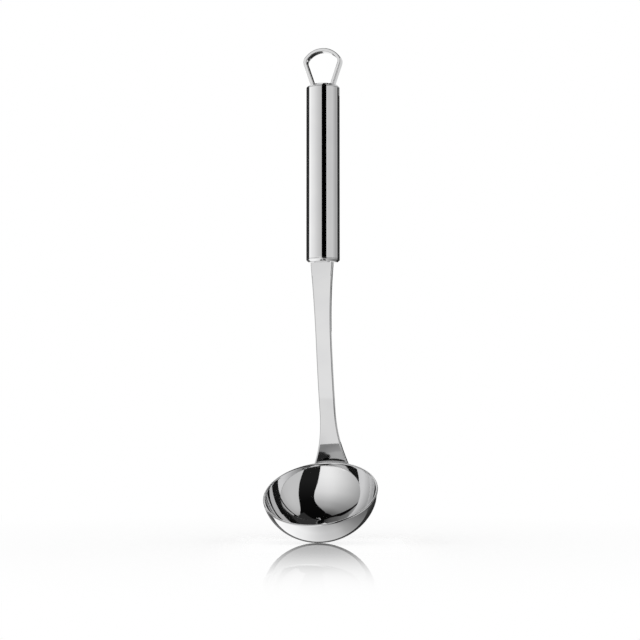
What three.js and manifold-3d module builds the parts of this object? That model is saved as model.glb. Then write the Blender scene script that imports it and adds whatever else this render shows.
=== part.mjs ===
// Sauce ladle of polished steel: a drawn bowl welded to a curved flat shank, a hollow round
// handle closed by two end caps, and a fixed loop to hang the ladle by.
// Millimetres, +Z up along the handle axis, the bowl opens towards -Y.
// The origin is the point inside the top of the loop where a hook carries the ladle.
import * as THREE from 'three';
import { mergeVertices } from 'three/addons/utils/BufferGeometryUtils.js';
import Module from 'manifold-3d';

// Handle tube
const handleDiameter = 18;
const tubeLength = 93;
const tubeWall = 0.8;

// End caps: a chamfered flange on the tube's end and a skirt inside its bore
const capChamfer = 1.2;
const capLand = 0.4;
const capSkirtLength = 6;
const capSkirtWall = 0.9;
const capSkirtClearance = 0.15;
const capSeamGap = 0.1;

// Bowl: a round cup, its rim tilted towards the front. Its outer and inner walls are parts of two
// spheroids with their centres above the rim, so the wall flares and thins towards the lip.
const bowlRadius = 30.6;
const bowlDepth = 24;
const bowlCentreRise = 3;
const bowlLip = 1.2;
const bowlBase = 1.5;
const bowlInnerRise = 7.5;
const bowlTilt = THREE.MathUtils.degToRad(31.7);
const bowlForward = 6.3;
const bowlDrop = 123.55;

// Shank: a flat bar with rounded edges, wider at both ends
const shankWidth = 8.7;
const shankThickness = 2.6;
const shankEdgeRadius = 0.8;
const shankEdgeShare = 0.45;
const shankTopFlare = 3.5;
const shankTopFlareLength = 42;
const shankTopForward = 2.1;
const shankUpperPull = 40;
const shankLowerPull = 20;
const shankSeatGap = 2;

// Neck and foot: the shank widens to the rim, and below the rim it bends round the bowl's back wall
const neckWidth = 18.5;
const neckFlareLength = 30;
const neckFlarePower = 2.3;
const footLength = 15;
const footWrapLength = 6;
const footThickness = 1.3;
const footTipWidth = 4;
const weldGap = 0.3;

// Tang: the narrow end of the shank inside the handle
const tangShoulder = 2.1;
const tangThickness = 2;
const tangLength = 20;
const slotClearance = 0.2;

// Hanging loop: a flat strip bent the easy way, its wide side along Y
const loopHeight = 20.3;
const loopWidth = 20.8;
const loopBarWidth = 1.8;
const loopBarDepth = 5.4;
const loopEdgeRadius = 0.5;
const loopTopRadius = 11;
const loopCornerRadius = 3.2;
const loopLegInset = 1;
const loopLegLength = 5;
const loopLegClearance = 0.2;

// Roundness of the facets
const handleSegments = 64;
const bowlSegments = 72;
const bowlArcSteps = 11;
const rimArcSteps = 4;
const shankSteps = 30;
const footSteps = 10;
const shankFaceSteps = 8;
const edgeArcSteps = 3;
const loopTopSteps = 9;
const loopCornerSteps = 8;

// Derived sizes. Heights count from the outer face of the lower cap.
const handleRadius = handleDiameter / 2;
const flangeHeight = capChamfer + capLand;
const tubeBottom = flangeHeight + capSeamGap;
const tubeTop = tubeBottom + tubeLength;
const handleTop = tubeTop + capSeamGap + flangeHeight;
const boreRadius = handleRadius - tubeWall;
const skirtOuterRadius = boreRadius - capSkirtClearance;
const skirtInnerRadius = skirtOuterRadius - capSkirtWall;
const tangWidth = shankWidth + shankTopFlare - 2 * tangShoulder;
const loopTop = handleTop + loopHeight;
const hookHeight = loopTop - loopBarWidth;

const wasm = await Module();
wasm.setup();
const mergeTolerance = 1e-4;

function toManifold(geometry) {
  const bare = geometry.clone();
  bare.deleteAttribute('normal');
  bare.deleteAttribute('uv');
  const merged = mergeVertices(bare, mergeTolerance);
  const vertProperties = Float32Array.from(merged.attributes.position.array);
  const triVerts = Uint32Array.from(merged.index.array);
  return new wasm.Manifold(new wasm.Mesh({ numProp: 3, vertProperties, triVerts }));
}

function cut(body, ...tools) {
  let solid = toManifold(body);
  for (const tool of tools) {
    solid = solid.subtract(toManifold(tool));
  }
  const mesh = solid.getMesh();
  const geometry = new THREE.BufferGeometry();
  geometry.setAttribute('position', new THREE.BufferAttribute(mesh.vertProperties, mesh.numProp));
  geometry.setIndex(new THREE.BufferAttribute(mesh.triVerts, 1));
  geometry.computeVertexNormals();
  return geometry;
}

// A turned piece: the profile holds [radius, height] points, and the axis becomes +Z
function turned(profile, segments) {
  const points = profile.map(([radius, height]) => new THREE.Vector2(radius, height));
  return new THREE.LatheGeometry(points, segments).rotateX(Math.PI / 2);
}

// A solid through rings of points that all have the same count, closed at both ends. Seen from
// beyond the first end, each ring runs counter-clockwise.
function loft(rings) {
  const count = rings[0].length;
  const total = (ring) => ring.reduce((sum, point) => sum.add(point), new THREE.Vector3());
  const middle = (ring) => total(ring).divideScalar(count);
  const points = [...rings.flat(), middle(rings[0]), middle(rings[rings.length - 1])];
  const index = [];
  for (let ring = 0; ring + 1 < rings.length; ring++) {
    for (let i = 0; i < count; i++) {
      const a = ring * count + i;
      const b = ring * count + ((i + 1) % count);
      index.push(a, b + count, b, a, a + count, b + count);
    }
  }
  const last = (rings.length - 1) * count;
  const firstMiddle = rings.length * count;
  for (let i = 0; i < count; i++) {
    const next = (i + 1) % count;
    index.push(firstMiddle, i, next, firstMiddle + 1, last + next, last + i);
  }
  const geometry = new THREE.BufferGeometry().setFromPoints(points);
  geometry.setIndex(index);
  geometry.computeVertexNormals();
  return geometry;
}

// Points of a rounded rectangle, counter-clockwise, centred on the origin, with points along the
// two faces across its width, so that the faces can be bent
function roundedRectangle(width, height, radius) {
  const corners = [[1, 1], [-1, 1], [-1, -1], [1, -1]];
  return corners.flatMap(([sideX, sideY], corner) => {
    const centreX = sideX * (width / 2 - radius);
    const centreY = sideY * (height / 2 - radius);
    const points = [];
    for (let step = 0; step <= edgeArcSteps; step++) {
      const angle = (corner + step / edgeArcSteps) * Math.PI / 2;
      points.push(new THREE.Vector2(centreX + radius * Math.cos(angle), centreY + radius * Math.sin(angle)));
    }
    const facePoints = sideX === sideY ? shankFaceSteps - 1 : 0;
    for (let step = 1; step <= facePoints; step++) {
      points.push(new THREE.Vector2(centreX * (1 - 2 * step / shankFaceSteps), sideY * height / 2));
    }
    return points;
  });
}

// An end cap with its flange's face on height 0 and its skirt pointing up
function endCap(...cutters) {
  const profile = [
    [0, 0],
    [handleRadius - capChamfer, 0],
    [handleRadius, capChamfer],
    [handleRadius, flangeHeight],
    [skirtOuterRadius, flangeHeight],
    [skirtOuterRadius, flangeHeight + capSkirtLength],
    [skirtInnerRadius, flangeHeight + capSkirtLength],
    [skirtInnerRadius, flangeHeight],
    [0, flangeHeight],
  ];
  return cut(turned(profile, handleSegments), ...cutters);
}

function handleTubeGeometry() {
  const profile = [
    [boreRadius, tubeBottom],
    [handleRadius, tubeBottom],
    [handleRadius, tubeTop],
    [boreRadius, tubeTop],
    [boreRadius, tubeBottom],
  ];
  return turned(profile, handleSegments);
}

// A spheroid through a rim, its centre above the rim's plane: its half axes outward and down, and
// the angle below its equator at which it meets the rim
function spheroid(radius, depth, rise) {
  const down = depth + rise;
  return { out: radius / Math.sqrt(1 - (rise / down) ** 2), down, rimAngle: Math.asin(rise / down) };
}

// Half section of a cup from its rim, on height 0, down to its axis
function cupLine(radius, depth, rise) {
  const { out, down, rimAngle } = spheroid(radius, depth, rise);
  const line = [];
  for (let step = 0; step <= bowlArcSteps; step++) {
    const angle = THREE.MathUtils.lerp(rimAngle, Math.PI / 2, step / bowlArcSteps);
    line.push([out * Math.cos(angle), rise - down * Math.sin(angle)]);
  }
  line[bowlArcSteps][0] = 0;
  return line;
}

// The bowl stands on its own axis, with the rim's plane on height 0
function bowlGeometry() {
  const lipRadius = bowlLip / 2;
  const lip = [];
  for (let step = 1; step < rimArcSteps; step++) {
    const angle = step / rimArcSteps * Math.PI;
    lip.push([bowlRadius - lipRadius + lipRadius * Math.cos(angle), lipRadius * Math.sin(angle)]);
  }
  const outside = cupLine(bowlRadius, bowlDepth, bowlCentreRise).reverse();
  const inside = cupLine(bowlRadius - bowlLip, bowlDepth - bowlBase, bowlInnerRise);
  return turned([...outside, ...lip, ...inside], bowlSegments);
}

// Directions in the plane of symmetry, as Vector2 of (y, z): from the bowl's axis to its back
// along the rim, and down along the bowl's axis
const rimBack = new THREE.Vector2(Math.cos(bowlTilt), Math.sin(bowlTilt));
const bowlDown = new THREE.Vector2(Math.sin(bowlTilt), -Math.cos(bowlTilt));
const rimCentre = new THREE.Vector2(-bowlForward, -bowlDrop);

const backWall = spheroid(bowlRadius, bowlDepth, bowlCentreRise);

// A point behind the bowl's back wall, off the wall by a distance, and the direction down the wall
function behindWall(angle, distance) {
  const normal = new THREE.Vector2(Math.cos(angle) / backWall.out, Math.sin(angle) / backWall.down);
  normal.normalize();
  const back = backWall.out * Math.cos(angle) + distance * normal.x;
  const down = backWall.down * Math.sin(angle) - bowlCentreRise + distance * normal.y;
  return {
    centre: rimCentre.clone().addScaledVector(rimBack, back).addScaledVector(bowlDown, down),
    tangent: bowlDown.clone().multiplyScalar(normal.x).addScaledVector(rimBack, -normal.y),
  };
}

// The stations of the shank, from the tang's end down to the tip of the foot. Each has its centre
// and its direction in the plane of symmetry, its width and thickness, and how far it wraps the bowl.
function shankStations() {
  const wallDistance = weldGap + shankThickness / 2;
  const top = new THREE.Vector2(-shankTopForward, -shankSeatGap);
  const rim = behindWall(backWall.rimAngle, wallDistance);
  const curve = new THREE.CubicBezierCurve(
    top,
    top.clone().add(new THREE.Vector2(0, -shankUpperPull)),
    rim.centre.clone().addScaledVector(rim.tangent, -shankLowerPull),
    rim.centre,
  );
  const curveLength = curve.getLength();
  const down = new THREE.Vector2(0, -1);
  const tang = { tangent: down, width: tangWidth, thickness: tangThickness, wrap: 0 };
  const stations = [
    { ...tang, centre: top.clone().setY(tangLength) },
    { ...tang, centre: top },
  ];
  for (let step = 0; step <= shankSteps; step++) {
    const along = step / shankSteps;
    const fromTop = along * curveLength;
    const toRim = curveLength - fromTop;
    const topShare = Math.max(0, 1 - fromTop / shankTopFlareLength);
    const neckShare = Math.max(0, 1 - toRim / neckFlareLength);
    stations.push({
      centre: curve.getPointAt(along),
      tangent: curve.getTangentAt(along),
      width: shankWidth + shankTopFlare * topShare ** 2
        + (neckWidth - shankWidth) * neckShare ** neckFlarePower,
      thickness: shankThickness,
      wrap: 0,
    });
  }
  const flareSlope = (neckWidth - shankWidth) * neckFlarePower / neckFlareLength;
  for (let step = 1; step <= footSteps; step++) {
    const along = step / footSteps;
    const angle = backWall.rimAngle + along * footLength / bowlDepth;
    const thickness = THREE.MathUtils.lerp(shankThickness, footThickness, along);
    const spread = neckWidth + flareSlope * footLength * along * (1 - along) ** 2;
    const width = footTipWidth + (spread - footTipWidth) * Math.sqrt(1 - along ** 2);
    const wrap = THREE.MathUtils.smoothstep(along * footLength, 0, footWrapLength);
    stations.push({ ...behindWall(angle, weldGap + thickness / 2), width, thickness, wrap });
  }
  return stations;
}

function shankGeometry() {
  const rings = shankStations().map(({ centre, tangent, width, thickness, wrap }) => {
    const front = new THREE.Vector2(tangent.y, -tangent.x);
    const axisDistance = centre.clone().sub(rimCentre).dot(rimBack);
    const edgeRadius = Math.min(shankEdgeRadius, shankEdgeShare * thickness);
    return roundedRectangle(width, thickness, edgeRadius).map(({ x, y }) => {
      const forward = wrap * (axisDistance - Math.sqrt(axisDistance ** 2 - x ** 2));
      const place = centre.clone().addScaledVector(front, -y).addScaledVector(rimBack, -forward);
      return new THREE.Vector3(x, place.x, place.y);
    });
  });
  return loft(rings);
}

// A cutter through a cap's flange for a bar of the given section, standing at x, y
function barHole(width, depth, clearance, x, y) {
  const through = 4 * flangeHeight;
  return new THREE.BoxGeometry(width + 2 * clearance, depth + 2 * clearance, through).translate(x, y, 0);
}

// The loop's legs stand just inside the skirt of the upper cap
const legX = skirtInnerRadius - loopLegInset - loopBarWidth / 2;

// Half of the loop's outline in the XZ plane, off its centre line by a distance: from the foot of
// the right leg, up the leaning arm, round the corner and along the top arc to the apex
function loopHalfOutline(offset) {
  const apex = loopTop - loopBarWidth / 2;
  const halfWidth = (loopWidth - loopBarWidth) / 2;
  const topCentre = new THREE.Vector2(0, apex - loopTopRadius);
  const cornerReach = loopTopRadius - loopCornerRadius;
  const topAngle = Math.acos((halfWidth - loopCornerRadius) / cornerReach);
  const cornerCentre = topCentre.clone().add(new THREE.Vector2(Math.cos(topAngle), Math.sin(topAngle))
    .multiplyScalar(cornerReach));
  const foot = new THREE.Vector2(legX, handleTop);
  const toCorner = cornerCentre.clone().sub(foot);
  const lean = Math.atan2(toCorner.x, toCorner.y) + Math.asin(loopCornerRadius / toCorner.length());
  const points = [
    new THREE.Vector2(legX + offset, handleTop - flangeHeight - loopLegLength),
    new THREE.Vector2(legX + offset, handleTop - offset * Math.tan(lean / 2)),
  ];
  const arc = (centre, radius, from, to, steps) => {
    for (let step = 0; step <= steps; step++) {
      const angle = THREE.MathUtils.lerp(from, to, step / steps);
      points.push(new THREE.Vector2(Math.cos(angle), Math.sin(angle)).multiplyScalar(radius).add(centre));
    }
  };
  arc(cornerCentre, loopCornerRadius + offset, -lean, topAngle, loopCornerSteps);
  points.pop();
  arc(topCentre, loopTopRadius + offset, topAngle, Math.PI / 2, loopTopSteps);
  return points;
}

function loopGeometry() {
  const mirrored = (points) => points.slice(0, -1).reverse().map(({ x, y }) => new THREE.Vector2(-x, y));
  const flat = loopBarWidth / 2 - loopEdgeRadius;
  const outer = loopHalfOutline(flat);
  const inner = loopHalfOutline(-flat);
  const outline = [...outer, ...mirrored(outer), ...[...inner, ...mirrored(inner)].reverse()];
  const geometry = new THREE.ExtrudeGeometry(new THREE.Shape(outline), {
    depth: loopBarDepth - 2 * loopEdgeRadius,
    bevelSize: loopEdgeRadius,
    bevelThickness: loopEdgeRadius,
    bevelSegments: edgeArcSteps,
    curveSegments: 1,
  });
  return geometry.translate(0, 0, loopEdgeRadius - loopBarDepth / 2).rotateX(Math.PI / 2);
}

function piece(name, geometry, roughness) {
  const material = new THREE.MeshStandardMaterial({ color: 0xc9cacb, metalness: 1, roughness });
  const mesh = new THREE.Mesh(geometry, material);
  mesh.name = name;
  return mesh;
}

const bowl = piece('bowl', bowlGeometry(), 0.06);
bowl.position.set(0, rimCentre.x, rimCentre.y);
bowl.rotation.x = bowlTilt;

const legHoles = [-legX, legX].map((x) => barHole(loopBarWidth, loopBarDepth, loopLegClearance, x, 0));
const tangSlot = barHole(tangWidth, tangThickness, slotClearance, 0, -shankTopForward);

const upperCap = piece('upper_end_cap', endCap(...legHoles), 0.12);
upperCap.rotation.x = Math.PI;
upperCap.position.z = handleTop;

const ladle = new THREE.Group();
ladle.add(
  bowl,
  piece('shank', shankGeometry(), 0.1),
  piece('handle_tube', handleTubeGeometry(), 0.08),
  piece('lower_end_cap', endCap(tangSlot), 0.12),
  upperCap,
  piece('hanging_loop', loopGeometry(), 0.1),
);
ladle.position.z = -hookHeight;

const part = new THREE.Group();
part.add(ladle);

export default part;
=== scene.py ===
import math

import bmesh
import bpy
import numpy as np
from mathutils import Matrix, Vector


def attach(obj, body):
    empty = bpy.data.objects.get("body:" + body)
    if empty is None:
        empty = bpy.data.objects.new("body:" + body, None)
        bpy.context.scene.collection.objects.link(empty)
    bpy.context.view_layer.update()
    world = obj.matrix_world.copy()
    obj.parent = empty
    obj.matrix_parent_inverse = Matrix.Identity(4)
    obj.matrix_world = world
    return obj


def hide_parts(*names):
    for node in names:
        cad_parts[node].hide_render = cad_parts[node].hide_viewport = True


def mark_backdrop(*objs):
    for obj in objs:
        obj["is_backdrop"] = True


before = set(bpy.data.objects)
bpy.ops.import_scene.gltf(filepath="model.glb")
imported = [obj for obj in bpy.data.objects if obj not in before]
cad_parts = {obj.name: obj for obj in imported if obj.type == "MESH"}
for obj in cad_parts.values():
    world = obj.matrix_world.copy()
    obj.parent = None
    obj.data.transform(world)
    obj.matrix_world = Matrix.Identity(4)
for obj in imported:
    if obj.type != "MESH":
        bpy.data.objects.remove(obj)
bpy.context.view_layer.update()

MM_PER_METRE = 1000

# Sizes in millimetres, as in the CAD part where no comment says otherwise. Heights count from the outer
# face of the lower cap.
HANDLE_RADIUS = 9.0
TUBE_LENGTH = 93.0
TUBE_WALL = 0.8
TUBE_EDGE = 0.2

CAP_CHAMFER = 1.2
CAP_LAND = 0.4
CAP_EDGE = 0.3
CAP_SKIRT_LENGTH = 6.0
CAP_SKIRT_WALL = 0.9
CAP_SKIRT_CLEARANCE = 0.15
CAP_SEAM_GAP = 0.1

BOWL_RADIUS = 30.6
BOWL_DEPTH = 24.0
BOWL_CENTRE_RISE = 3.0
BOWL_LIP = 1.2
BOWL_BASE = 1.5
BOWL_INNER_RISE = 7.5
BOWL_TILT = math.radians(31.7)
BOWL_FORWARD = 6.3
BOWL_DROP = 123.55

SHANK_WIDTH = 8.7
SHANK_THICKNESS = 2.6
SHANK_EDGE_RADIUS = 0.8
SHANK_EDGE_SHARE = 0.45
SHANK_TOP_FLARE = 3.5
SHANK_TOP_FLARE_LENGTH = 42.0
SHANK_TOP_FORWARD = 2.1
SHANK_UPPER_PULL = 40.0
SHANK_LOWER_PULL = 20.0
SHANK_SEAT_GAP = 2.0
# Only in this scene: from there the shank goes on straight, at its full width, to this far below the cap
SHOULDER_GAP = 0.2

NECK_WIDTH = 18.5
NECK_FLARE_LENGTH = 30.0
NECK_FLARE_POWER = 2.3
FOOT_LENGTH = 15.0
FOOT_THICKNESS = 1.3
FOOT_TIP_WIDTH = 4.0
WELD_GAP = 0.3
# Only in this scene: the dish of the neck above the rim, as a share of the bowl's curve, the length over
# which it grows, and the length and power with which the neck takes the rest of that curve
NECK_DISH = 0.6
NECK_DISH_LENGTH = 17.0
NECK_WRAP_LENGTH = 8.0
NECK_WRAP_POWER = 1.5

TANG_SHOULDER = 2.1
TANG_THICKNESS = 2.0
TANG_LENGTH = 20.0
SLOT_CLEARANCE = 0.2

LOOP_HEIGHT = 20.3
LOOP_WIDTH = 20.8
LOOP_BAR_WIDTH = 1.8
LOOP_BAR_DEPTH = 5.4
LOOP_EDGE_RADIUS = 0.5
LOOP_TOP_RADIUS = 11.0
LOOP_CORNER_RADIUS = 3.2
LOOP_LEG_INSET = 1.0
LOOP_LEG_LENGTH = 5.0
LOOP_LEG_CLEARANCE = 0.2

# Derived sizes
FLANGE_HEIGHT = CAP_CHAMFER + CAP_LAND
TUBE_BOTTOM = FLANGE_HEIGHT + CAP_SEAM_GAP
TUBE_TOP = TUBE_BOTTOM + TUBE_LENGTH
HANDLE_TOP = TUBE_TOP + CAP_SEAM_GAP + FLANGE_HEIGHT
BORE_RADIUS = HANDLE_RADIUS - TUBE_WALL
SKIRT_OUTER = BORE_RADIUS - CAP_SKIRT_CLEARANCE
SKIRT_INNER = SKIRT_OUTER - CAP_SKIRT_WALL
TANG_WIDTH = SHANK_WIDTH + SHANK_TOP_FLARE - 2 * TANG_SHOULDER
LEG_X = SKIRT_INNER - LOOP_LEG_INSET - LOOP_BAR_WIDTH / 2
LOOP_TOP = HANDLE_TOP + LOOP_HEIGHT
HOOK_HEIGHT = LOOP_TOP - LOOP_BAR_WIDTH

# Fineness of the meshes
ROUND_SEGMENTS = 192
BOWL_SEGMENTS = 256
BOWL_STEPS = 96
RIM_STEPS = 16
SHANK_STEPS = 180
CURVE_SAMPLES = 4000
FOOT_STEPS = 48
FACE_STEPS = 24
SIDE_STEPS = 8
EDGE_STEPS = 8
SUPPORT = 0.25
LONGEST_STEP = 6.0
BEND_STEPS = 32
CORNER_STEPS = 6
SHARP_ANGLE = math.radians(38)
ON_AXIS = 1e-9

# The camera of the photograph, in millimetres and pixels of a 640 x 640 image
IMAGE_SIZE = 640
FOCAL_PIXELS = 1623.0
CAMERA_AZIMUTH = math.radians(13)
CAMERA_POSITION = (195.32, -846.02, -213.52)
CAMERA_TARGET = (0.0, 0.0, -145.95)
TARGET_LEFT = 1.64
SENSOR_WIDTH = 36.0

# Polished steel: a faint cloud in tone and haze, and fine polishing lines
CLOUD_SCALE = 55.0
CLOUD_DETAIL = 4.0
CLOUD_ROUGHNESS = 0.6
CLOUD_TINT_RANGE = (0.3, 0.7)
CLOUD_HAZE_RANGE = (0.35, 0.75)
TINT_SPREAD = 0.015
TINT_SPREAD_BLUE = 0.01
HAZE = 0.03
LINE_MARK_RANGE = (0.55, 0.9)
LINE_MARKS = 0.05
LINE_DETAIL = 3.0
LINE_BUMP = 0.015
LINE_DEPTH = 0.00002
# Waves of noise per metre along X, Y and Z, and outward from the bowl's axis
LINES_DOWN = (3000.0, 3000.0, 40.0)
LINES_ROUND = (60.0, 60.0, 2500.0)
LINES_EVEN = (1500.0, 1500.0, 1500.0)
LINES_SPUN = 2500.0

# The floor's look. Each pair is where a fade starts and ends, in metres from the floor's centre, which lies
# below the bowl.
FLOOR_HALF_SIZE = 2.0
FLOOR_GREY = 0.97
FLOOR_IOR = 1.45
FLOOR_GLOSS = 1.2
MIRROR_SIDE_FADE = (0.036, 0.06)
MIRROR_BACK_FADE = (0.01, 0.06)
MIRROR_FADE = (0.06, 0.36)
WHITE_FADE = (0.03, 0.36)
# The floor's height in millimetres, just under the bowl, and how far its centre lies behind the handle's
# axis, as a share of the tilted bowl's depth
FLOOR_HEIGHT = -264.02
FLOOR_CENTRE_SHARE = 0.4

# Light on the floor: the world's strength, and the softbox in metres and watts
WORLD_LIGHT = 0.9
LAMP_SIZE = 0.9
LAMP_POWER = 1.2
LAMP_HEIGHT = 0.9

# Studio cards. Radii in millimetres of the domes about the bowl and of the near cards about the handle,
# the heights of the near cards, and the depth of the ground card, which is also the unit of its sides.
CARD_STEPS = 64
TENT = 1600.0
FAR = 1500.0
INNER = 1400.0
NEAR = 40.0
NEAR_FOOT = -122.0
NEAR_BOTTOM = -110.0
NEAR_CAP = -16.4
NEAR_LOOP = -10.0
NEAR_TOP = 14.0
GROUND = 450.0
GROUND_SIDE = 2.6
GROUND_FRONT = 1.73
# Painted shade: one flat grey that the steel shows of the ground card at a second reflection, which darkens
# the bowl's image in the floor's mirror
GROUND_PAINTED_MIRROR_SHADE = 0.48
# Ray depth between a first and a second reflection, and the slants between which a grid comes to hide its
# card
SECOND_REFLECTION = 1.5
GRID_BLEND = 0.5
GRID_FADE = (0.3, 0.4)


def metres(points):
    """Points in millimetres, with heights from the lower cap, as points in the row frame."""
    return (np.asarray(points, float) - (0, 0, HOOK_HEIGHT)) / MM_PER_METRE


# Mesh building

def rounded(points, radius, steps=CORNER_STEPS):
    """An open line of (radius, height) points with its inner corners rounded."""
    line = [points[0]]
    for before, corner, after in zip(points, points[1:], points[2:]):
        corner = np.array(corner, float)
        back = np.array(before, float) - corner
        ahead = np.array(after, float) - corner
        reach = min(radius, np.linalg.norm(back) / 2, np.linalg.norm(ahead) / 2)
        start = corner + back / np.linalg.norm(back) * reach
        end = corner + ahead / np.linalg.norm(ahead) * reach
        for t in np.linspace(0, 1, steps + 1):
            line.append(tuple((1 - t) ** 2 * start + 2 * t * (1 - t) * corner + t ** 2 * end))
    line.append(points[-1])
    return line


def divided(line):
    """The line with points added on its long straight parts, two of them close to the ends, which
    keeps the shading of a rounded corner at the corner."""
    points = [tuple(line[0])]
    for start, end in zip(line, line[1:]):
        start, end = np.array(start, float), np.array(end, float)
        length = np.linalg.norm(end - start)
        if length > 4 * SUPPORT:
            steps = max(1, math.ceil(length / LONGEST_STEP))
            for place in np.linspace(SUPPORT, length - SUPPORT, steps + 1):
                points.append(tuple(start + (end - start) * place / length))
        points.append(tuple(end))
    return points


def turned(profile, segments):
    """Vertices and faces of a (radius, height) profile turned about the Z axis.
    The profile starts and ends on the axis, or ends where it starts."""
    closed = profile[0] == profile[-1]
    profile = profile[:-1] if closed else profile
    angles = np.arange(segments) * 2 * math.pi / segments
    points, rings = [], []
    for radius, height in profile:
        if radius < ON_AXIS:
            rings.append([len(points)] * segments)
            points.append((0, 0, height))
        else:
            rings.append(list(range(len(points), len(points) + segments)))
            points.extend((radius * math.cos(a), radius * math.sin(a), height) for a in angles)
    pairs = list(zip(rings, rings[1:])) + ([(rings[-1], rings[0])] if closed else [])
    faces = []
    for low, high in pairs:
        for i in range(segments):
            j = (i + 1) % segments
            face = (low[i], low[j], high[j], high[i])
            faces.append(tuple(dict.fromkeys(face)))
    return np.array(points, float), faces


def lofted(rings):
    """Vertices and faces of a solid through rings of points, closed at both ends."""
    rings = np.asarray(rings, float)
    count, size = rings.shape[:2]
    points = np.vstack([rings.reshape(-1, 3), rings[0].mean(0), rings[-1].mean(0)])
    faces = []
    for ring in range(count - 1):
        for i in range(size):
            j = (i + 1) % size
            a, b = ring * size, (ring + 1) * size
            faces.append((a + i, a + j, b + j, b + i))
    last = (count - 1) * size
    for i in range(size):
        j = (i + 1) % size
        faces.append((count * size, j, i))
        faces.append((count * size + 1, last + i, last + j))
    return points, faces


def rounded_rectangle(width, height, radius):
    """Points of a rounded rectangle, counter-clockwise, with points along all four faces."""
    points = []
    for corner, (side_x, side_y) in enumerate([(1, 1), (-1, 1), (-1, -1), (1, -1)]):
        centre = np.array([side_x * (width / 2 - radius), side_y * (height / 2 - radius)])
        for step in range(EDGE_STEPS + 1):
            angle = (corner + step / EDGE_STEPS) * math.pi / 2
            points.append(centre + radius * np.array([math.cos(angle), math.sin(angle)]))
        wide = side_x == side_y
        steps = FACE_STEPS if wide else SIDE_STEPS
        for step in range(1, steps):
            place = math.cos(math.pi * step / steps)
            points.append(np.array([centre[0] * place, side_y * height / 2]) if wide
                          else np.array([side_x * width / 2, centre[1] * place]))
    return points


def mesh_object(name, points, faces):
    """A new object in the scene, with its faces turned outward."""
    mesh = bpy.data.meshes.new(name)
    mesh.from_pydata([tuple(p) for p in points], [], faces)
    shape = bmesh.new()
    shape.from_mesh(mesh)
    bmesh.ops.recalc_face_normals(shape, faces=shape.faces)
    shape.to_mesh(mesh)
    shape.free()
    obj = bpy.data.objects.new(name, mesh)
    bpy.context.scene.collection.objects.link(obj)
    return obj


def cut_holes(obj, boxes):
    """Takes upright boxes, each (x, y, width, depth, bottom, top) in millimetres, out of a piece."""
    for x, y, width, depth, bottom, top in boxes:
        corners = [(x + sx * width / 2, y + sy * depth / 2, z)
                   for z in (bottom, top) for sx, sy in ((-1, -1), (1, -1), (1, 1), (-1, 1))]
        sides = [(i, (i + 1) % 4, (i + 1) % 4 + 4, i + 4) for i in range(4)]
        cutter = mesh_object("cutter", metres(corners), [(3, 2, 1, 0), (4, 5, 6, 7)] + sides)
        modifier = obj.modifiers.new("hole", "BOOLEAN")
        modifier.object = cutter
        modifier.solver = "EXACT"
        bpy.context.view_layer.update()
        result = obj.evaluated_get(bpy.context.evaluated_depsgraph_get())
        mesh = bpy.data.meshes.new_from_object(result)
        obj.modifiers.clear()
        obj.data = mesh
        bpy.data.objects.remove(cutter)


def finish_piece(obj, node, material):
    """Shades a piece, gives it its material and puts it in the place of its CAD node."""
    obj.data.shade_smooth()
    obj.data.set_sharp_from_angle(angle=SHARP_ANGLE)
    obj.data.materials.clear()
    obj.data.materials.append(material)
    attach(obj, "root")
    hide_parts(node)
    return obj


# Pieces

def spheroid(radius, depth, rise):
    """The half axes, outward and down, of a spheroid whose centre lies over a rim, and its angle at the
    rim."""
    down = depth + rise
    return radius / math.sqrt(1 - (rise / down) ** 2), down, math.asin(rise / down)


def cup_line(radius, depth, rise):
    """Half section of a cup from its rim down to its axis."""
    out, down, start = spheroid(radius, depth, rise)
    return [(out * math.cos(a), rise - down * math.sin(a))
            for a in np.linspace(start, math.pi / 2, BOWL_STEPS + 1)]


def make_bowl(material):
    """Round cup with a round lip, a wall thicker below the lip and its rim tilted to the front."""
    lip = BOWL_LIP / 2
    outer = cup_line(BOWL_RADIUS, BOWL_DEPTH, BOWL_CENTRE_RISE)[::-1]
    crest = [(BOWL_RADIUS - lip + lip * math.cos(a), lip * math.sin(a))
             for a in np.linspace(0, math.pi, RIM_STEPS + 1)[1:-1]]
    inner = cup_line(BOWL_RADIUS - BOWL_LIP, BOWL_DEPTH - BOWL_BASE, BOWL_INNER_RISE)
    points, faces = turned(outer + crest + inner, BOWL_SEGMENTS)
    tilt = np.array(Matrix.Rotation(BOWL_TILT, 3, "X"))
    points = points @ tilt.T + (0, -BOWL_FORWARD, -BOWL_DROP)
    obj = mesh_object("bowl_drawn", metres(points), faces)
    return finish_piece(obj, "bowl", material)


# Directions in the plane of symmetry, as (y, z)
RIM_BACK = np.array([math.cos(BOWL_TILT), math.sin(BOWL_TILT)])
BOWL_DOWN = np.array([math.sin(BOWL_TILT), -math.cos(BOWL_TILT)])
RIM_CENTRE = np.array([-BOWL_FORWARD, -BOWL_DROP])
WALL_OUT, WALL_DOWN, RIM_ANGLE = spheroid(BOWL_RADIUS, BOWL_DEPTH, BOWL_CENTRE_RISE)


def behind_wall(angle, distance):
    """A point at a distance behind the bowl's back wall, and the direction down the wall."""
    normal = np.array([math.cos(angle) / WALL_OUT, math.sin(angle) / WALL_DOWN])
    normal /= np.linalg.norm(normal)
    back = WALL_OUT * math.cos(angle) + distance * normal[0]
    down = WALL_DOWN * math.sin(angle) - BOWL_CENTRE_RISE + distance * normal[1]
    place = RIM_CENTRE + RIM_BACK * back + BOWL_DOWN * down
    return place, BOWL_DOWN * normal[0] - RIM_BACK * normal[1]


def cubic(poles, t):
    """Points on the cubic Bezier curve of four poles."""
    return sum(c * (1 - t) ** (3 - i) * t ** i * p for i, (c, p) in enumerate(zip((1, 3, 3, 1), poles)))


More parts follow.
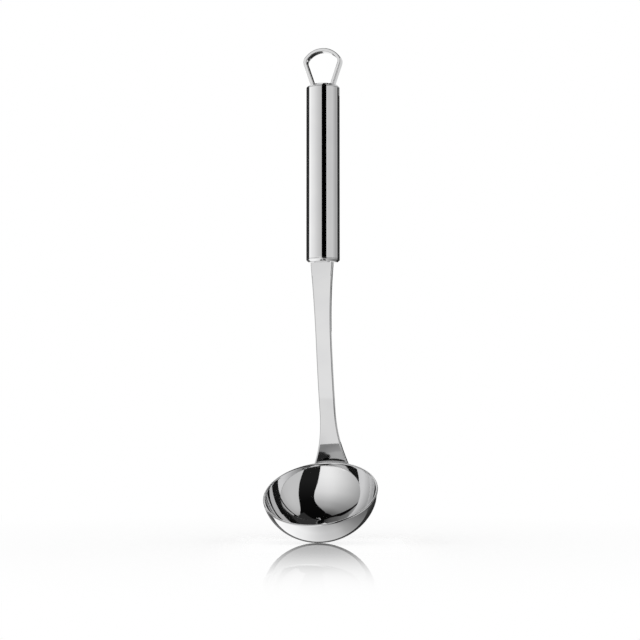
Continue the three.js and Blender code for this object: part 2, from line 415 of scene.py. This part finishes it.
def shank_curve(count):
    """Evenly spaced points and directions down the shank's centre line, and the line's length."""
    top = np.array([-SHANK_TOP_FORWARD, -SHANK_SEAT_GAP])
    rim, ahead = behind_wall(RIM_ANGLE, WELD_GAP + SHANK_THICKNESS / 2)
    poles = [top, top + (0, -SHANK_UPPER_PULL), rim - ahead * SHANK_LOWER_PULL, rim]
    t = np.linspace(0, 1, CURVE_SAMPLES + 1)[:, None]
    line = cubic(poles, t)
    lengths = np.concatenate([[0], np.cumsum(np.linalg.norm(np.diff(line, axis=0), axis=1))])
    even = np.interp(np.linspace(0, lengths[-1], count + 1), lengths, t[:, 0])[:, None]
    points = cubic(poles, even)
    slopes = sum(c * (1 - even) ** (2 - i) * even ** i * (b - a)
                 for i, (c, a, b) in enumerate(zip((1, 2, 1), poles, poles[1:])))
    return points, slopes / np.linalg.norm(slopes, axis=1)[:, None], lengths[-1]


def shank_ring(centre, tangent, width, thickness, wrap):
    """A section of the shank, bent round the bowl's axis by the share wrap."""
    front = np.array([tangent[1], -tangent[0]])
    axis_distance = (centre - RIM_CENTRE) @ RIM_BACK
    edge_radius = min(SHANK_EDGE_RADIUS, SHANK_EDGE_SHARE * thickness)
    ring = []
    for x, y in rounded_rectangle(width, thickness, edge_radius):
        forward = wrap * (axis_distance - math.sqrt(axis_distance ** 2 - x ** 2)) if wrap else 0
        place = centre - front * y - RIM_BACK * forward
        ring.append((x, place[0], place[1]))
    return ring


def smooth_step(share):
    return share * share * (3 - 2 * share)


def make_shank(material):
    """Flat bar from its tang in the handle down to the foot on the bowl's back. Its shoulder lies just
    under the cap. Its neck is dished where it widens, and takes the bowl's curve at the rim."""
    points, tangents, length = shank_curve(SHANK_STEPS)
    down = np.array([0, -1])
    tang_end = np.array([-SHANK_TOP_FORWARD, TANG_LENGTH])
    shoulder = np.array([-SHANK_TOP_FORWARD, -SHOULDER_GAP])
    rings = [shank_ring(end, down, TANG_WIDTH, TANG_THICKNESS, 0) for end in (tang_end, shoulder)]
    rings.append(shank_ring(shoulder, down, SHANK_WIDTH + SHANK_TOP_FLARE, SHANK_THICKNESS, 0))
    for step in range(SHANK_STEPS + 1):
        from_top = length * step / SHANK_STEPS
        to_rim = length - from_top
        top_share = max(0, 1 - from_top / SHANK_TOP_FLARE_LENGTH)
        neck_share = max(0, 1 - to_rim / NECK_FLARE_LENGTH)
        width = (SHANK_WIDTH + SHANK_TOP_FLARE * top_share ** 2
                 + (NECK_WIDTH - SHANK_WIDTH) * neck_share ** NECK_FLARE_POWER)
        dish_share = smooth_step(min(1, max(0, NECK_FLARE_LENGTH - to_rim) / NECK_DISH_LENGTH))
        wrap_share = max(0, 1 - to_rim / NECK_WRAP_LENGTH) ** NECK_WRAP_POWER
        bend = NECK_DISH * dish_share + (1 - NECK_DISH) * wrap_share
        rings.append(shank_ring(points[step], tangents[step], width, SHANK_THICKNESS, bend))
    slope = (NECK_WIDTH - SHANK_WIDTH) * NECK_FLARE_POWER / NECK_FLARE_LENGTH
    for along in np.linspace(0, 1, FOOT_STEPS + 1)[1:]:
        angle = RIM_ANGLE + along * FOOT_LENGTH / BOWL_DEPTH
        thickness = SHANK_THICKNESS + (FOOT_THICKNESS - SHANK_THICKNESS) * along
        spread = NECK_WIDTH + slope * FOOT_LENGTH * along * (1 - along) ** 2
        width = FOOT_TIP_WIDTH + (spread - FOOT_TIP_WIDTH) * math.sqrt(1 - along ** 2)
        centre, tangent = behind_wall(angle, WELD_GAP + thickness / 2)
        rings.append(shank_ring(centre, tangent, width, thickness, 1))
    vertices, faces = lofted(rings)
    obj = mesh_object("shank_forged", metres(vertices), faces)
    return finish_piece(obj, "shank", material)


def make_handle_tube(material):
    """Plain tube with lightly broken edges."""
    wall = [(BORE_RADIUS, TUBE_BOTTOM + TUBE_LENGTH / 2), (BORE_RADIUS, TUBE_BOTTOM),
            (HANDLE_RADIUS, TUBE_BOTTOM), (HANDLE_RADIUS, TUBE_TOP), (BORE_RADIUS, TUBE_TOP),
            (BORE_RADIUS, TUBE_BOTTOM + TUBE_LENGTH / 2)]
    points, faces = turned(divided(rounded(wall, TUBE_EDGE)), ROUND_SEGMENTS)
    obj = mesh_object("handle_tube_drawn", metres(points), faces)
    return finish_piece(obj, "handle_tube", material)


def cap_profile():
    """Half section of an end cap, its outer face on height 0 and its skirt pointing up."""
    outside = rounded([(0, 0), (HANDLE_RADIUS - CAP_CHAMFER, 0), (HANDLE_RADIUS, CAP_CHAMFER),
                       (HANDLE_RADIUS, FLANGE_HEIGHT)], CAP_EDGE)
    skirt_end = FLANGE_HEIGHT + CAP_SKIRT_LENGTH
    inside = [(SKIRT_OUTER, FLANGE_HEIGHT), (SKIRT_OUTER, skirt_end), (SKIRT_INNER, skirt_end),
              (SKIRT_INNER, FLANGE_HEIGHT), (0, FLANGE_HEIGHT)]
    return divided(outside + inside)


def make_lower_cap(material):
    """End cap with a slot for the tang."""
    points, faces = turned(cap_profile(), ROUND_SEGMENTS)
    obj = mesh_object("lower_end_cap_pressed", metres(points), faces)
    gap = 2 * SLOT_CLEARANCE
    cut_holes(obj, [(0, -SHANK_TOP_FORWARD, TANG_WIDTH + gap, TANG_THICKNESS + gap, -FLANGE_HEIGHT,
                     2 * FLANGE_HEIGHT)])
    return finish_piece(obj, "lower_end_cap", material)


def make_upper_cap(material):
    """End cap, turned over, with two holes for the loop's legs."""
    points, faces = turned([(r, HANDLE_TOP - h) for r, h in cap_profile()], ROUND_SEGMENTS)
    obj = mesh_object("upper_end_cap_pressed", metres(points), faces)
    gap = 2 * LOOP_LEG_CLEARANCE
    cut_holes(obj, [(x, 0, LOOP_BAR_WIDTH + gap, LOOP_BAR_DEPTH + gap, HANDLE_TOP - 2 * FLANGE_HEIGHT,
                     HANDLE_TOP + FLANGE_HEIGHT) for x in (-LEG_X, LEG_X)])
    return finish_piece(obj, "upper_end_cap", material)


def loop_line():
    """Half of the loop's centre line in the XZ plane, from the foot of the right leg to the apex:
    points, and the outward direction at each."""
    apex = LOOP_TOP - LOOP_BAR_WIDTH / 2
    half_width = (LOOP_WIDTH - LOOP_BAR_WIDTH) / 2
    reach = LOOP_TOP_RADIUS - LOOP_CORNER_RADIUS
    top_angle = math.acos((half_width - LOOP_CORNER_RADIUS) / reach)
    top_centre = np.array([0, apex - LOOP_TOP_RADIUS])
    corner_centre = top_centre + reach * np.array([math.cos(top_angle), math.sin(top_angle)])
    foot = np.array([LEG_X, HANDLE_TOP])
    to_corner = corner_centre - foot
    lean = math.atan2(*to_corner) + math.asin(LOOP_CORNER_RADIUS / np.linalg.norm(to_corner))
    half_lean = np.array([math.cos(lean / 2), -math.sin(lean / 2)]) / math.cos(lean / 2)
    line = [((LEG_X, HANDLE_TOP - FLANGE_HEIGHT - LOOP_LEG_LENGTH), (1, 0)), (foot, half_lean)]
    across = np.array([math.cos(lean), -math.sin(lean)])
    arm_end = corner_centre + LOOP_CORNER_RADIUS * across
    line += [(np.array(p), across) for p in divided([foot, arm_end])[1:-1]]
    for angle in np.linspace(-lean, top_angle, BEND_STEPS + 1):
        out = np.array([math.cos(angle), math.sin(angle)])
        line.append((corner_centre + LOOP_CORNER_RADIUS * out, out))
    for angle in np.linspace(top_angle, math.pi / 2, BEND_STEPS + 1)[1:]:
        out = np.array([math.cos(angle), math.sin(angle)])
        line.append((top_centre + LOOP_TOP_RADIUS * out, out))
    return line


def make_loop(material):
    """Flat strip with rounded edges, bent to an open pear shape, its legs in the upper cap."""
    half = loop_line()
    whole = half + [((-p[0], p[1]), (-out[0], out[1])) for p, out in half[-2::-1]]
    section = rounded_rectangle(LOOP_BAR_WIDTH, LOOP_BAR_DEPTH, LOOP_EDGE_RADIUS)
    rings = [[(p[0] + out[0] * u, v, p[1] + out[1] * u) for u, v in section] for p, out in whole]
    points, faces = lofted(rings)
    obj = mesh_object("hanging_loop_bent", metres(points), faces)
    return finish_piece(obj, "hanging_loop", material)


# Materials

class Tree:
    """A short way to add nodes and links to a material or a world."""

    def __init__(self, owner):
        owner.use_nodes = True
        self.tree = owner.node_tree
        self.tree.nodes.clear()

    def node(self, kind, settings=None, **inputs):
        node = self.tree.nodes.new(kind)
        for key, value in (settings or {}).items():
            setattr(node, key, value)
        for key, value in inputs.items():
            self.set(node, key.replace("_", " "), value)
        return node

    def set(self, node, name, value):
        socket = node.inputs[int(name)] if name.isdigit() else node.inputs[name]
        if isinstance(value, bpy.types.NodeSocket):
            self.tree.links.new(value, socket)
        else:
            socket.default_value = value

    def math(self, operation, first, second=0.0):
        node = self.node("ShaderNodeMath", {"operation": operation})
        self.set(node, "0", first)
        self.set(node, "1", second)
        return node.outputs[0]

    def ramp(self, value, low, high, to_low, to_high):
        node = self.node("ShaderNodeMapRange", {"interpolation_type": "SMOOTHSTEP"}, Value=value,
                         From_Min=low, From_Max=high, To_Min=to_low, To_Max=to_high)
        return node.outputs["Result"]


def steel(name, grey, roughness, lines):
    """Polished steel. lines(tree, place) gives the height of its fine polishing lines."""
    material = bpy.data.materials.new(name)
    tree = Tree(material)
    place = tree.node("ShaderNodeTexCoord").outputs["Object"]
    grain = lines(tree, place)
    cloud = tree.node("ShaderNodeTexNoise", Vector=place, Scale=CLOUD_SCALE, Detail=CLOUD_DETAIL,
                      Roughness=CLOUD_ROUGHNESS).outputs["Fac"]
    dark, pale = grey - TINT_SPREAD, grey + TINT_SPREAD
    tint = tree.node("ShaderNodeMix", {"data_type": "RGBA"})
    tree.set(tint, "Factor", tree.ramp(cloud, *CLOUD_TINT_RANGE, 0.0, 1.0))
    tree.set(tint, "6", (dark, dark, grey - TINT_SPREAD_BLUE, 1))
    tree.set(tint, "7", (pale, pale, pale, 1))
    haze = tree.ramp(cloud, *CLOUD_HAZE_RANGE, 0.0, HAZE)
    marks = tree.ramp(grain, *LINE_MARK_RANGE, 0.0, LINE_MARKS)
    rough = tree.math("ADD", tree.math("ADD", haze, marks), roughness)
    bump = tree.node("ShaderNodeBump", Height=grain, Strength=LINE_BUMP, Distance=LINE_DEPTH)
    shader = tree.node("ShaderNodeBsdfPrincipled", Metallic=1.0, Roughness=rough,
                       Base_Color=tint.outputs[2], Normal=bump.outputs["Normal"])
    tree.node("ShaderNodeOutputMaterial", Surface=shader.outputs[0])
    return material


def straight_lines(stretch):
    """Polishing lines along one direction: noise squeezed across it."""
    def lines(tree, place):
        shrink = tree.node("ShaderNodeMapping", Vector=place, Scale=stretch).outputs["Vector"]
        noise = tree.node("ShaderNodeTexNoise", Vector=shrink, Scale=1.0, Detail=LINE_DETAIL)
        return noise.outputs["Fac"]
    return lines


def spun_lines(tree, place):
    """Polishing lines in circles about the bowl's axis."""
    centre = metres([(0, -BOWL_FORWARD, -BOWL_DROP)])[0]
    turn = tree.node("ShaderNodeMapping", {"vector_type": "TEXTURE"}, Vector=place,
                     Location=tuple(centre), Rotation=(BOWL_TILT, 0.0, 0.0)).outputs["Vector"]
    flat = tree.node("ShaderNodeVectorMath", {"operation": "MULTIPLY"})
    tree.set(flat, "0", turn)
    tree.set(flat, "1", (1.0, 1.0, 0.0))
    far = tree.node("ShaderNodeVectorMath", {"operation": "LENGTH"})
    tree.set(far, "0", flat.outputs[0])
    noise = tree.node("ShaderNodeTexNoise", {"noise_dimensions": "1D"}, W=far.outputs["Value"],
                      Scale=LINES_SPUN, Detail=LINE_DETAIL)
    return noise.outputs["Fac"]


make_bowl(steel("bowl_steel", grey=0.78, roughness=0.03, lines=spun_lines))
make_shank(steel("shank_steel", grey=0.71, roughness=0.04, lines=straight_lines(LINES_DOWN)))
make_handle_tube(steel("tube_steel", grey=0.78, roughness=0.03, lines=straight_lines(LINES_DOWN)))
cap_steel = steel("cap_steel", grey=0.76, roughness=0.05, lines=straight_lines(LINES_ROUND))
make_lower_cap(cap_steel)
make_upper_cap(cap_steel)
make_loop(steel("loop_steel", grey=0.77, roughness=0.04, lines=straight_lines(LINES_EVEN)))


# Studio. Angles are seen from the ladle: azimuth 0 is towards the camera, positive to its right.

def studio_direction(azimuth, elevation=0.0):
    """A direction from the ladle, by degrees of azimuth and elevation."""
    turn = CAMERA_AZIMUTH + math.radians(azimuth)
    rise = math.radians(elevation)
    return np.array([math.sin(turn) * math.cos(rise), -math.cos(turn) * math.cos(rise), math.sin(rise)])


def card_material(name, grid=False, painted_mirror_shade=None, mirrored_only=False):
    """A card that glows by its vertices' tone on its inner side and isn't seen from its back or in the
    floor's mirror, whose rays are singular. A grid in front of a card also hides it from slanting rays. A
    painted mirror shade is one flat grey that the steel shows of the card at a second reflection, painted
    shade that darkens, among others, the bowl's image in the floor's mirror, and a card that is mirrored
    only isn't seen at the first."""
    material = bpy.data.materials.new(name)
    material.cycles.emission_sampling = "NONE"
    tree = Tree(material)
    tone = tree.node("ShaderNodeAttribute", {"attribute_name": "tone"}).outputs["Fac"]
    path = tree.node("ShaderNodeLightPath").outputs
    again = tree.math("GREATER_THAN", path["Ray Depth"], SECOND_REFLECTION)
    # Painted shade: at a second reflection the card glows with one flat grey tone in place of its own tones
    if painted_mirror_shade is not None:
        tone = tree.math("ADD", tree.math("MULTIPLY", tone, tree.math("SUBTRACT", 1.0, again)),
                         tree.math("MULTIPLY", again, painted_mirror_shade))
    glow = tree.node("ShaderNodeEmission", Strength=tone)
    clear = tree.node("ShaderNodeBsdfTransparent")
    hidden = tree.math("MAXIMUM", tree.node("ShaderNodeNewGeometry").outputs["Backfacing"],
                       path["Is Singular Ray"])
    if mirrored_only:
        hidden = tree.math("MAXIMUM", hidden, tree.math("SUBTRACT", 1.0, again))
    if grid:
        slant = tree.node("ShaderNodeLayerWeight", Blend=GRID_BLEND).outputs["Facing"]
        hidden = tree.math("MAXIMUM", hidden, tree.ramp(slant, *GRID_FADE, 0.0, 1.0))
    mix = tree.node("ShaderNodeMixShader", Fac=hidden)
    tree.set(mix, "1", glow.outputs[0])
    tree.set(mix, "2", clear.outputs[0])
    tree.node("ShaderNodeOutputMaterial", Surface=mix.outputs[0])
    return material


CARD = card_material("studio_card")
GRID_CARD = card_material("studio_grid_card", grid=True)
MIRRORED_CARD = card_material("studio_mirrored_card", mirrored_only=True)
GROUND_CARD = card_material("studio_ground_card", painted_mirror_shade=GROUND_PAINTED_MIRROR_SHADE)


def card(name, place, sides, tones, rows, material=CARD):
    """A studio card for reflections only, given over two coordinates, azimuth and rise, by place(azimuth,
    rise) in millimetres. sides holds (rise, left azimuth, right azimuth), tones holds (azimuth, tone) and
    rows holds (rise, share), the share of the tone that is left at that rise."""
    heights, lefts, rights = zip(*sides)
    width = CARD_STEPS + 1
    rises = np.unique(np.concatenate([np.linspace(heights[0], heights[-1], width), heights]))
    points, glow = [], []
    for rise in rises:
        left, right = np.interp(rise, heights, lefts), np.interp(rise, heights, rights)
        across = np.linspace(left, right, width)
        points += [tuple(place(azimuth, rise) / MM_PER_METRE) for azimuth in across]
        glow.append(np.interp(across, *zip(*tones)) * np.interp(rise, *zip(*rows)))
    faces = [(r * width + c, (r + 1) * width + c, (r + 1) * width + c + 1, r * width + c + 1)
             for r in range(len(rises) - 1) for c in range(CARD_STEPS)]
    mesh = bpy.data.meshes.new(name)
    mesh.from_pydata(points, [], faces)
    mesh.attributes.new("tone", "FLOAT", "POINT").data.foreach_set("value", np.concatenate(glow))
    mesh.materials.append(material)
    obj = bpy.data.objects.new(name, mesh)
    bpy.context.scene.collection.objects.link(obj)
    obj.visible_camera = False
    obj.visible_diffuse = False
    obj.visible_shadow = False
    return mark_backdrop(obj)


BOWL_MIDDLE = np.array([0, -BOWL_FORWARD, -BOWL_DROP - HOOK_HEIGHT])


def dome(radius):
    """Places on a dome about the bowl, by azimuth and elevation."""
    def place(azimuth, elevation):
        return BOWL_MIDDLE + radius * studio_direction(azimuth, elevation)
    return place


def near_place(azimuth, height):
    """A place on the near cards."""
    return NEAR * studio_direction(azimuth) + (0, 0, height)


def ground_place(right, forward):
    """A place on the ground card, to the right and to the front in units of its depth."""
    return BOWL_MIDDLE + GROUND * (right * studio_direction(90) + forward * studio_direction(0) - (0, 0, 1))


def straight_card(name, place, bottom, top, tones, material=CARD):
    """A card with upright sides and the same tones at every rise."""
    left, right = tones[0][0], tones[-1][0]
    sides = [(bottom, left, right), (top, left, right)]
    return card(name, place, sides, tones, [(bottom, 1), (top, 1)], material)


def far_card(name, bottom, top, tones):
    return straight_card(name, dome(FAR), bottom, top, tones)


def near_card(name, bottom, top, tones):
    return straight_card(name, near_place, bottom, top, tones, GRID_CARD)


def add_tent():
    """The dark round the ladle, open at the back."""
    sides = [(-90, -160, 160), (8, -160, 160), (9, -160, 178), (66, -160, 178), (66.1, -180, 180),
             (90, -180, 180)]
    rows = [(-90, 0.015), (0, 0.015), (40, 0.004), (90, 0.002)]
    card("tent", dome(TENT), sides, [(-180, 1), (180, 1)], rows)


def add_left_panel():
    """The large soft panel at the left, whose edge bounds the dark stripe in the bowl."""
    sides = [(-40, -108, -6), (-20, -108, -3), (-4, -108, 0), (6, -108, 2.2), (14, -108, 5), (22, -107, 8),
             (30, -103.5, 10), (37, -99, 10.5), (44, -93.5, 9.2), (50, -89, 5), (56, -84, -2),
             (62, -77, -14), (68, -70, -33)]
    tones = [(-110, 0.39), (-100, 0.445), (-90, 0.51), (-70, 0.645), (-50, 0.79), (-30, 0.935),
             (-20, 0.97), (0, 0.95), (12, 0.93)]
    rows = [(-40, 1.1), (-8, 1.06), (8, 1.0), (24, 0.88), (40, 0.63), (44, 0.55), (48, 0.5), (52, 0.46),
            (56, 0.385), (60, 0.295), (64, 0.21), (68, 0.15)]
    card("left_panel", dome(FAR), sides, tones, rows)


def add_right_panel():
    """The soft panel at the right, with an upright right side."""
    right = 93.5
    lefts = [(-40, 30), (-20, 32.5), (-8, 36), (4, 39.5), (16, 42.5), (28, 46), (38, 49), (46, 53),
             (50, 56), (53, 59.5), (56, 64), (59, 73), (61, 80)]
    tones = [(30, 0.67), (65, 0.67), (75, 0.64), (80, 0.62), (85, 0.56), (95, 0.52)]
    rows = [(-40, 1.0), (24, 1.0), (40, 0.97), (50, 0.92), (57, 0.85), (61, 0.76)]
    card("right_panel", dome(FAR), [(rise, left, right) for rise, left in lefts], tones, rows)


def add_mirrored_cards():
    """Cards that show only at a second reflection: a fill for what the neck shows of the bowl, and a flag
    for what the bowl shows of the shank."""
    sides = [(34, 43, 106), (58.8, 43, 106)]
    tones = [(43, 0.64), (78, 0.63), (84, 0.5), (97, 0.43), (106, 0.37)]
    rows = [(34, 1.0), (50, 1.0), (58.8, 0.93)]
    card("neck_fill", dome(INNER), sides, tones, rows, MIRRORED_CARD)
    straight_card("shank_flag", dome(INNER), 18, 64, [(-14, 0.05), (16, 0.05)], MIRRORED_CARD)


def add_fills():
    """Cards beside, behind and above the two panels."""
    far_card("right_fill", -40, 54, [(97, 0.42), (106, 0.37)])
    far_card("rear_right_panel", 26, 58, [(106, 0.37), (115, 0.36), (152, 0.55), (175, 0.6)])
    card("rear_top_panel", dome(FAR), [(58, 106, 175), (62, 60, 175), (85, 60, 175)],
         [(60, 0.03), (175, 0.03)], [(58, 1.0), (85, 1.0)])
    card("left_fill", dome(FAR), [(-40, -122, -112), (22, -122, -112), (34, -122, -106), (43, -122, -103),
                                  (46, -122, -102)],
         [(-122, 1.0), (-112, 0.4), (-96, 0.32)], [(-40, 1.0), (34, 1.0), (46, 0.6)])
    card("left_top_fill", dome(FAR), [(46, -125, -102), (52, -125, -100), (58, -125, -97), (64, -125, -88),
                                      (72, -125, -78), (82, -125, -78)],
         [(-125, 0.17), (-78, 0.14)],
         [(46, 1.25), (52, 1.1), (58, 1.0), (64, 0.75), (70, 0.7), (75, 0.55), (82, 0.2)])


def add_ground():
    """A glowing card that the steel shows in place of the floor: a painted reflection of the ground with
    painted shade, paler on the left, darker towards the right and a little darker towards the front.
    """
    sides = [(-GROUND_FRONT, -GROUND_SIDE, GROUND_SIDE), (GROUND_FRONT, -GROUND_SIDE, GROUND_SIDE)]
    # Painted shade: the glow falls from pale on the left to dark on the right, standing in for the floor's
    # shade and the bowl's soft shadow beside it
    tones = [(-GROUND_SIDE, 1.22), (-0.6, 1.16), (-0.29, 1.04), (-0.16, 0.93), (0, 0.8), (0.16, 0.71),
             (0.38, 0.64), (0.6, 0.44), (0.96, 0.28), (1.43, 0.2), (GROUND_SIDE, 0.1)]
    rows = [(-GROUND_FRONT, 1.0), (-0.2, 1.0), (0.3, 0.8), (GROUND_FRONT, 0.8)]
    card("ground", ground_place, sides, tones, rows, GROUND_CARD)


def add_rear_cards():
    """A low dark flag, two bright slots and a bright panel at the back."""
    far_card("rear_low_flag", -30, -5, [(115, 0.1), (130, 0.08), (146, 0.03), (165, 0.03), (180, 0.12),
                                        (200, 0.2), (209, 0.07), (245, 0.1)])
    far_card("right_slot", -4, 7, [(138, 1.0), (158, 1.0)])
    far_card("left_slot", -4, 7, [(-160, 1.0), (-122, 1.0)])
    far_card("rear_left_panel", 40, 80, [(-178, 0.9), (-130, 0.9)])


def add_near_cards():
    """Cards that the handle and the loop show. Their grids hide them from the bowl."""
    near_card("handle_left_flag", NEAR_FOOT, NEAR_LOOP, [(-163, 0.03), (-100.4, 0.03)])
    near_card("handle_left_foot", NEAR_FOOT, NEAR_BOTTOM,
              [(-100.4, 1.07), (-86, 1.15), (-80, 1.04), (-46, 0.85)])
    near_card("handle_left_panel", NEAR_BOTTOM, NEAR_LOOP,
              [(-100.4, 1.07), (-86, 1.15), (-80, 1.04), (-58, 0.94), (-31, 0.73), (-8.2, 0.58)])
    near_card("handle_flag", NEAR_FOOT, NEAR_TOP, [(-8.2, 0), (20.9, 0)])
    near_card("handle_right_panel", NEAR_FOOT, NEAR_LOOP,
              [(20.9, 0.8), (22.8, 0.78), (26.6, 0.71), (62, 0.71), (66.7, 0.65), (89.7, 0.45), (99, 0.48),
               (107, 0.5)])
    near_card("handle_right_flag", NEAR_FOOT, NEAR_CAP, [(107, 0.03), (163, 0.03)])
    near_card("cap_right_flag", NEAR_CAP, NEAR_LOOP, [(107, 0.03), (133, 0.03)])
    near_card("leg_right_panel", NEAR_CAP, NEAR_LOOP, [(133, 0.73), (146, 0.73)])
    near_card("cap_rear_flag", NEAR_CAP, NEAR_LOOP, [(146, 0.03), (163, 0.03)])
    near_card("loop_left_panel", NEAR_LOOP, NEAR_TOP, [(-100.4, 0.95), (-60, 0.9), (-8.2, 0.84)])
    near_card("loop_right_panel", NEAR_LOOP, NEAR_TOP, [(20.9, 0.72), (160, 0.75)])
    card("loop_rear_flag", near_place,
         [(NEAR_LOOP, 160, 176), (2, 160, 178), (6, 160, 186), (NEAR_TOP, 160, 186)],
         [(160, 0.02), (186, 0.02)], [(NEAR_LOOP, 1), (NEAR_TOP, 1)], GRID_CARD)


def add_cards():
    """A dark tent with soft panels, which the polished steel shows."""
    add_tent()
    add_left_panel()
    add_right_panel()
    add_mirrored_cards()
    add_fills()
    add_ground()
    add_rear_cards()
    add_near_cards()


def background_share(tree):
    """1 for the rays that show the background, to the camera or in metal and glass, and 0 for the rest."""
    path = tree.node("ShaderNodeLightPath").outputs
    return tree.math("MAXIMUM", tree.math("MAXIMUM", path["Is Camera Ray"], path["Is Glossy Ray"]),
                     path["Is Transmission Ray"])


def floor_material():
    """White glossy floor. Its mirror image and its shadow fade away from the ladle. The floor's own axes
    are X to the right of the photograph and -Y towards its camera."""
    material = bpy.data.materials.new("studio_floor")
    material.cycles.emission_sampling = "NONE"
    tree = Tree(material)
    place = tree.node("ShaderNodeTexCoord").outputs["Object"]
    far = tree.node("ShaderNodeVectorMath", {"operation": "LENGTH"})
    tree.set(far, "0", place)
    distance = far.outputs["Value"]
    axes = tree.node("ShaderNodeSeparateXYZ", Vector=place).outputs
    beside = tree.ramp(tree.math("ABSOLUTE", axes["X"]), *MIRROR_SIDE_FADE, 1.0, 0.0)
    behind = tree.ramp(axes["Y"], *MIRROR_BACK_FADE, 1.0, 0.0)
    gloss = tree.math("MULTIPLY", tree.node("ShaderNodeFresnel", IOR=FLOOR_IOR).outputs[0], FLOOR_GLOSS)
    gloss = tree.math("MULTIPLY", gloss, tree.math("MULTIPLY", beside, behind))
    gloss = tree.math("MULTIPLY", gloss, tree.ramp(distance, *MIRROR_FADE, 1.0, 0.0))
    diffuse = tree.node("ShaderNodeBsdfDiffuse", Color=(FLOOR_GREY, FLOOR_GREY, FLOOR_GREY, 1))
    mirror = tree.node("ShaderNodeBsdfAnisotropic", Color=(1, 1, 1, 1), Roughness=0.0)
    near = tree.node("ShaderNodeMixShader", Fac=gloss)
    tree.set(near, "1", diffuse.outputs[0])
    tree.set(near, "2", mirror.outputs[0])
    white = tree.node("ShaderNodeEmission", Strength=background_share(tree))
    mix = tree.node("ShaderNodeMixShader", Fac=tree.ramp(distance, *WHITE_FADE, 0.0, 1.0))
    tree.set(mix, "1", near.outputs[0])
    tree.set(mix, "2", white.outputs[0])
    tree.node("ShaderNodeOutputMaterial", Surface=mix.outputs[0])
    return material


def add_floor():
    """A level floor under the bowl. The steel shows the ground card instead of it."""
    centre = metres([(0, BOWL_DEPTH * math.sin(BOWL_TILT) * FLOOR_CENTRE_SHARE, 0)])[0]
    size = FLOOR_HALF_SIZE
    corners = [(-size, -size, 0), (size, -size, 0), (size, size, 0), (-size, size, 0)]
    floor = mesh_object("floor", corners, [(0, 1, 2, 3)])
    floor.location = (0, centre[1], FLOOR_HEIGHT / MM_PER_METRE)
    floor.rotation_euler = (0, 0, CAMERA_AZIMUTH)
    floor.data.materials.append(floor_material())
    floor.visible_glossy = False


def add_world():
    """White for the camera and in reflections, softer as a light on the floor."""
    world = bpy.data.worlds.new("studio_world")
    bpy.context.scene.world = world
    tree = Tree(world)
    strength = tree.ramp(background_share(tree), 0.0, 1.0, WORLD_LIGHT, 1.0)
    background = tree.node("ShaderNodeBackground", Color=(1, 1, 1, 1), Strength=strength)
    tree.node("ShaderNodeOutputWorld", Surface=background.outputs[0])


def add_lamp():
    """Large softbox above the ladle, which lights the floor."""
    lamp = bpy.data.lights.new("softbox", "AREA")
    lamp.size = LAMP_SIZE
    lamp.energy = LAMP_POWER
    obj = bpy.data.objects.new("softbox", lamp)
    bpy.context.scene.collection.objects.link(obj)
    obj.location = (0, 0, FLOOR_HEIGHT / MM_PER_METRE + LAMP_HEIGHT)
    obj.visible_glossy = False


def add_camera():
    """The photograph's camera."""
    camera = bpy.data.cameras.new("camera")
    camera.sensor_width = SENSOR_WIDTH
    camera.lens = FOCAL_PIXELS * SENSOR_WIDTH / IMAGE_SIZE
    obj = bpy.data.objects.new("camera", camera)
    bpy.context.scene.collection.objects.link(obj)
    position = Vector(CAMERA_POSITION) / MM_PER_METRE
    left = Vector(studio_direction(-90)) * TARGET_LEFT / MM_PER_METRE
    target = Vector(CAMERA_TARGET) / MM_PER_METRE + left
    obj.location = position
    obj.rotation_euler = (target - position).to_track_quat("-Z", "Y").to_euler()
    bpy.context.scene.camera = obj


add_camera()
add_floor()
add_world()
add_lamp()
add_cards()
bpy.context.scene.view_settings.view_transform = "Standard"
